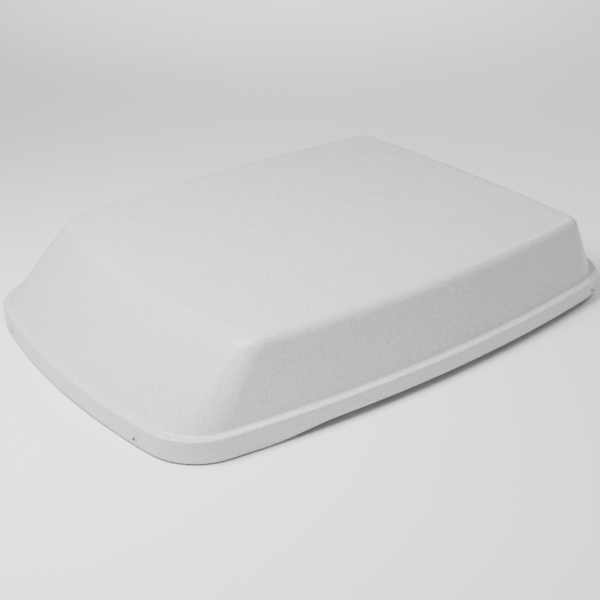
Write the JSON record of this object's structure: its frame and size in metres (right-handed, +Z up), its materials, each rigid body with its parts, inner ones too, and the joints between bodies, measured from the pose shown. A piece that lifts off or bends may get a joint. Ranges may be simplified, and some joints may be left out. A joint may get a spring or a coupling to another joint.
{
  "type": "roof vent cover",
  "caption": "Low moulded roof vent cover with a long front slope, on a lid frame hinged over a flanged roof frame and lifted by a hand crank.",
  "frame": {"origin": "under the middle of the cover's footprint, on the roof's surface, which is the underside of the gasket", "axes": "+Z up from the roof, +Y towards the hinge and the steep end, -Y towards the long slope, +X to the right seen from the sloped end"},
  "size_m": [0.45, 0.6098, 0.0988],
  "materials": {
    "moulded_shell": "fine moulded texture",
    "frame_plastic": "satin",
    "lid_frame_plastic": "satin",
    "butyl": "matt",
    "foam": "matt foam",
    "screw_steel": "zinc plated",
    "cover_screw_paint": "painted to match the cover",
    "pin_steel": "bright",
    "arm_steel": "zinc plated sheet",
    "track_aluminium": "mill finish",
    "acetal": "waxy",
    "worm_brass": "machined",
    "crank_zinc": "die cast",
    "knob_plastic": "satin"
  },
  "bodies": {
    "roof_frame_body": {"hinge_pin_left": "pin_steel", "hinge_pin_right": "pin_steel", "roof_frame": "frame_plastic", "roof_gasket": "butyl", "roof_screw_01": "screw_steel", "roof_screw_02": "screw_steel", "roof_screw_03": "screw_steel", "roof_screw_04": "screw_steel", "roof_screw_05": "screw_steel", "roof_screw_06": "screw_steel", "roof_screw_07": "screw_steel", "roof_screw_08": "screw_steel", "roof_screw_09": "screw_steel", "roof_screw_10": "screw_steel", "roof_screw_11": "screw_steel", "roof_screw_12": "screw_steel", "crank_bar_screw_1": "screw_steel", "crank_bar_screw_2": "screw_steel", "crank_bar_screw_3": "screw_steel", "crank_bar_screw_4": "screw_steel", "gear_cover_screw_front": "screw_steel", "gear_cover_screw_rear": "screw_steel", "crank_bar": "crank_zinc", "gear_cover_plate": "crank_zinc"},
    "cover_body": {"cover_shell": "moulded_shell", "lid_frame": "lid_frame_plastic", "lid_seal": "foam", "cover_screw_front_right": "cover_screw_paint", "cover_screw_front_left": "cover_screw_paint", "cover_screw_rear_right": "cover_screw_paint", "cover_screw_rear_left": "cover_screw_paint", "lift_track": "track_aluminium", "track_screw_front": "screw_steel", "track_screw_middle": "screw_steel", "track_screw_rear": "screw_steel"},
    "arm_body": {"lift_arm": "arm_steel", "arm_pin": "pin_steel", "arm_pin_clip": "pin_steel", "arm_shaft": "pin_steel", "arm_shaft_clip": "pin_steel", "worm_wheel": "acetal"},
    "roller_body": {"track_roller": "acetal"},
    "crank_body": {"worm_spindle": "worm_brass", "crank_knob": "knob_plastic"}
  },
  "joints": [
    {"name": "cover_hinge", "type": "hinge", "parent": "roof_frame_body", "child": "cover_body", "pos_m": [0, 0.292, 0.0155], "axis": [-1, 0, 0], "range_deg": [0, 55]},
    {"name": "arm_pivot", "type": "hinge", "parent": "roof_frame_body", "child": "arm_body", "pos_m": [0, 0.10255, 0.03], "axis": [-1, 0, 0], "range_deg": [0, 110]},
    {"name": "roller_spin", "type": "hinge", "parent": "arm_body", "child": "roller_body", "pos_m": [0.0185, -0.08285, 0.07152], "axis": [-1, 0, 0], "continuous": true},
    {"name": "crank_turn", "type": "hinge", "parent": "roof_frame_body", "child": "crank_body", "pos_m": [0, 0.12255, 0.02], "axis": [0, 0, 1], "range_deg": [0, 2200]}
  ],
  "couplings": [
    {"joint": "arm_pivot", "follows": "cover_hinge", "ratio": 2},
    {"joint": "crank_turn", "follows": "cover_hinge", "ratio": 40}
  ]
}
